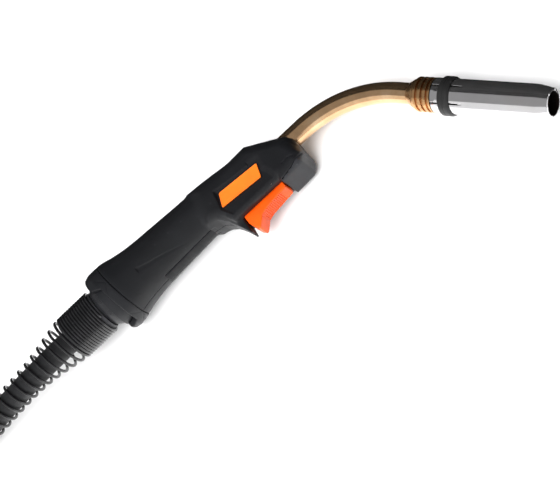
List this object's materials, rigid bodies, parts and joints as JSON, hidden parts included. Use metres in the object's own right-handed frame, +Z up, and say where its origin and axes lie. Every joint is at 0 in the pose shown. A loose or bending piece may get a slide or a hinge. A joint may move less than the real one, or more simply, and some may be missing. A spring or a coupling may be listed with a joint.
{
  "type": "mig welding torch",
  "caption": "Gas-cooled MIG welding torch: slotted conical nozzle on a bent copper neck, black handle with an orange trigger, ball-jointed sprung cable and machine connector.",
  "frame": {"origin": "the middle of the torch's own box (without its free cable and connector) on the surface that it lies on", "axes": "+X along the gas nozzle, out of its mouth; +Z up from the surface that the torch lies on; +Y is the side on which the nozzle lies"},
  "size_m": [0.6464, 0.3972, 0.054],
  "materials": {
    "nozzle_chrome": "polished",
    "ring_black": "satin",
    "copper": "satin",
    "brass": "satin",
    "fin_brass": "machined",
    "neck_copper": "drawn and polished",
    "ceramic": "fired",
    "insulation": "moulded",
    "steel": "zinc plated",
    "handle_plastic": "fine moulded texture",
    "nose_plastic": "fine moulded texture",
    "grip_rubber": "soft satin",
    "label_orange": "printed",
    "trigger_orange": "moulded",
    "ball_plastic": "satin",
    "switch_body": "moulded",
    "wire_red": "extruded",
    "cable_rubber": "matt",
    "spring_black": "glossy",
    "strap_black": "hook and loop",
    "plug_plastic": "moulded"
  },
  "bodies": {
    "cable": {"cable_lead": "cable_rubber", "cable_coil": "cable_rubber", "cable_tail": "cable_rubber", "coil_straps": "strap_black", "spring_tail": "spring_black", "anti_kink_spring": "spring_black", "spring_ferrule": "ball_plastic", "retaining_clip": "steel", "plug_spring": "spring_black", "plug_housing_upper": "plug_plastic", "plug_housing_lower": "plug_plastic", "plug_block": "brass", "plug_face": "switch_body", "plug_nut_retainer": "steel"},
    "ball": {"swivel_ball": "ball_plastic"},
    "seat_ring": {"ball_seat_ring": "ball_plastic"},
    "handle": {"left_shell": "handle_plastic", "right_shell": "handle_plastic", "nose_cover": "nose_plastic", "label_plate_left": "label_orange", "label_plate_right": "label_orange", "grip_strip_top": "grip_rubber", "grip_strip_bottom": "grip_rubber", "shell_screws": "steel", "rear_collar": "handle_plastic", "inner_cable": "cable_rubber", "neck_union": "brass", "neck_jacket": "neck_copper", "neck_insulation": "insulation", "neck_inner_tube": "copper", "wire_liner": "steel", "trigger_pin": "steel", "microswitch": "switch_body", "switch_terminals": "brass", "control_wires": "wire_red", "nozzle_seat": "fin_brass", "seat_insulator": "insulation", "tip_holder": "brass", "gas_diffuser": "ceramic", "contact_tip": "copper"},
    "trigger": {"trigger": "trigger_orange"},
    "switch_plunger": {"switch_plunger": "switch_body"},
    "gas_nozzle": {"gas_nozzle": "nozzle_chrome", "nozzle_clamp_ring": "ring_black"},
    "plug_nut": {"plug_nut": "plug_plastic"},
    "plug_pin_1": {"plug_pin_1": "brass"},
    "plug_pin_2": {"plug_pin_2": "brass"}
  },
  "joints": [
    {"name": "cable_swivel", "type": "hinge", "parent": "cable", "child": "ball", "pos_m": [-0.12505, -0.06403, 0.02387], "axis": [0.6361, 0.7698, -0.0526], "range_deg": [-120, 120]},
    {"name": "ball_pitch", "type": "hinge", "parent": "ball", "child": "seat_ring", "pos_m": [-0.12505, -0.06403, 0.02387], "axis": [0, 0.0682, 0.9977], "range_deg": [-10, 10]},
    {"name": "ball_yaw", "type": "hinge", "parent": "seat_ring", "child": "handle", "pos_m": [-0.12505, -0.06403, 0.02387], "axis": [-0.7716, 0.6346, -0.0434], "range_deg": [-15, 15]},
    {"name": "trigger_pull", "type": "hinge", "parent": "handle", "child": "trigger", "pos_m": [-0.02119, 0.02058, 0.01809], "axis": [0, -0.0682, -0.9977], "range_deg": [0, 5], "stiffness_Nm_per_rad": 1.2, "springref_deg": -4.58},
    {"name": "plunger_press", "type": "slide", "parent": "handle", "child": "switch_plunger", "axis": [-0.7716, 0.6346, -0.0434], "range_m": [0, 0.00205]},
    {"name": "nozzle_pull_off", "type": "slide", "parent": "handle", "child": "gas_nozzle", "axis": [1, 0, 0], "range_m": [0, 0.1]},
    {"name": "plug_nut_turn", "type": "hinge", "parent": "cable", "child": "plug_nut", "pos_m": [-0.44661, 0.05787, 0.0275], "axis": [0.139, 0.9903, 0], "continuous": true},
    {"name": "plug_pin_1_press", "type": "slide", "parent": "cable", "child": "plug_pin_1", "axis": [-0.139, -0.9903, 0], "range_m": [0, 0.004], "stiffness_N_per_m": 800, "springref_m": -0.001},
    {"name": "plug_pin_2_press", "type": "slide", "parent": "cable", "child": "plug_pin_2", "axis": [-0.139, -0.9903, 0], "range_m": [0, 0.004], "stiffness_N_per_m": 800, "springref_m": -0.001}
  ],
  "couplings": [
    {"joint": "plunger_press", "follows": "trigger_pull", "m_per_rad": 0.0215}
  ]
}
